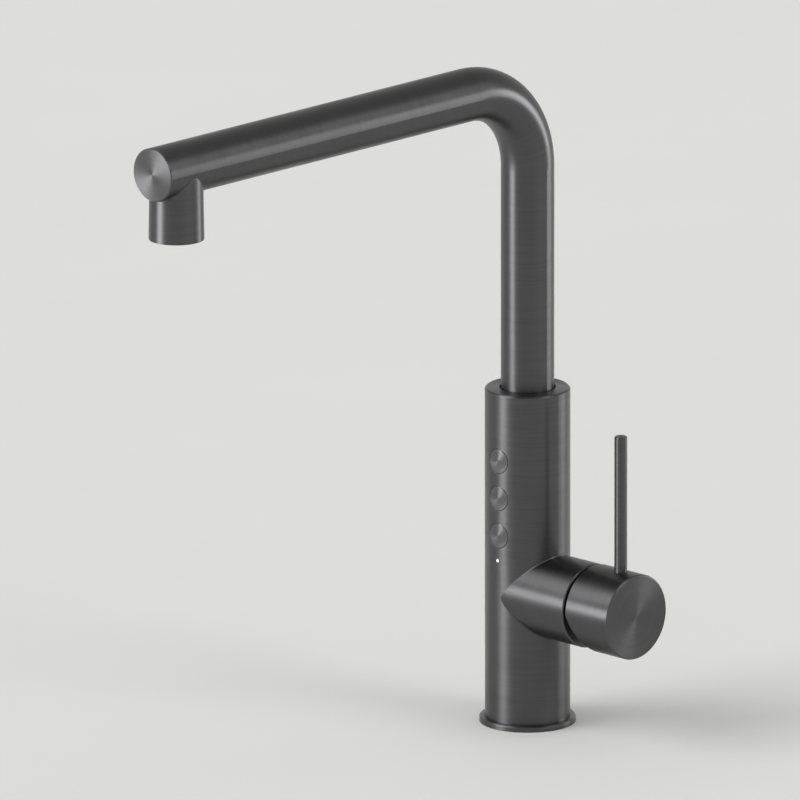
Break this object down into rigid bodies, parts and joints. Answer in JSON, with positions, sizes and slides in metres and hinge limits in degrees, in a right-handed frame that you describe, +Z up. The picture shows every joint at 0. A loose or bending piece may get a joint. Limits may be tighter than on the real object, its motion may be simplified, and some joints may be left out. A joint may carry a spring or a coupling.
{
  "type": "kitchen tap",
  "caption": "Upright kitchen tap with a swivelling L-shaped spout, a side mixer lever and front buttons for filtered drinking water.",
  "frame": {"origin": "on the body's axis at the deck, on the base ring's underside", "axes": "+Z up along the body, the spout points to -Y towards the user, and the mixer lever is on the +X side"},
  "size_m": [0.0933, 0.2692, 0.3215],
  "materials": {
    "graphite_metal": "brushed metal with a dark graphite coating, satin",
    "button_metal": "same dark graphite coating, finely spun faces",
    "brass": "turned and milled brass",
    "steel": "plain stainless steel",
    "black_rubber": "black seal rubber, matte",
    "white_plastic": "off-white acetal, satin",
    "grey_plastic": "grey moulded plastic, matte",
    "black_plastic": "black moulded plastic, matte",
    "ceramic": null,
    "circuit_board": "green solder resist on glass-fibre board",
    "clear_plastic": "clear moulded light guide"
  },
  "bodies": {
    "body": {"base_gasket": "black_rubber", "base_ring": "graphite_metal", "plate_snap_ring": "steel", "inlet_plate": "brass", "plate_screws": "steel", "plate_seals": "black_rubber", "cable_grommet": "black_rubber", "valve_block": "brass", "body_shell": "graphite_metal", "mixed_water_pipe": "brass", "filtered_water_pipe": "brass", "spout_stop_screw": "steel", "switch_carrier": "white_plastic", "switch_board": "circuit_board", "board_screws": "steel", "tact_switches": "black_plastic", "board_connector": "white_plastic", "status_light": "white_plastic", "light_guide": "clear_plastic", "spring_top": "steel", "spring_middle": "steel", "spring_bottom": "steel", "cartridge_base": "grey_plastic", "cartridge_seals": "black_rubber", "cartridge_housing": "grey_plastic", "fixed_disc": "ceramic", "cartridge_nut": "brass", "trim_dome": "graphite_metal"},
    "spout": {"spout_tube": "graphite_metal", "spout_end_cap": "graphite_metal", "outlet_nozzle": "graphite_metal", "spout_foot": "brass", "foot_seals": "black_rubber", "foot_glide_rings": "white_plastic", "spout_inner_tube": "white_plastic", "aerator_housing": "steel", "aerator_insert": "grey_plastic", "aerator_seal": "black_rubber", "filtered_water_nozzle": "white_plastic"},
    "rotor": {"cartridge_rotor": "white_plastic", "stem_pin": "steel"},
    "disc": {"disc_carrier": "white_plastic", "moving_disc": "ceramic"},
    "handle": {"lever_stem": "steel", "handle_hub": "graphite_metal", "lever_rod": "graphite_metal", "handle_grub_screw": "steel", "grub_screw_plug": "black_rubber"},
    "top_key": {"button_top": "button_metal"},
    "middle_key": {"button_middle": "button_metal"},
    "bottom_key": {"button_bottom": "button_metal"}
  },
  "joints": [
    {"name": "spout_swivel", "type": "hinge", "parent": "body", "child": "spout", "pos_m": [0, 0, 0.1496], "axis": [0, 0, 1], "range_deg": [-75, 75]},
    {"name": "temperature_turn", "type": "hinge", "parent": "body", "child": "rotor", "pos_m": [0.04, 0, 0.06335], "axis": [1, 0, 0], "range_deg": [-45, 45]},
    {"name": "lever_tilt", "type": "hinge", "parent": "rotor", "child": "handle", "pos_m": [0.04, 0, 0.06335], "axis": [0, 1, 0], "range_deg": [0, 22]},
    {"name": "disc_slide", "type": "slide", "parent": "rotor", "child": "disc", "axis": [0, 0, 1], "range_m": [0, 0.0051]},
    {"name": "top_button_press", "type": "slide", "parent": "body", "child": "top_key", "axis": [0, 1, 0], "range_m": [0, 0.001], "stiffness_N_per_m": 600, "springref_m": -0.0015, "deforming": ["spring_top"]},
    {"name": "middle_button_press", "type": "slide", "parent": "body", "child": "middle_key", "axis": [0, 1, 0], "range_m": [0, 0.001], "stiffness_N_per_m": 600, "springref_m": -0.0015, "deforming": ["spring_middle"]},
    {"name": "bottom_button_press", "type": "slide", "parent": "body", "child": "bottom_key", "axis": [0, 1, 0], "range_m": [0, 0.001], "stiffness_N_per_m": 600, "springref_m": -0.0015, "deforming": ["spring_bottom"]}
  ],
  "couplings": [
    {"joint": "disc_slide", "follows": "lever_tilt", "m_per_rad": 0.01317}
  ]
}
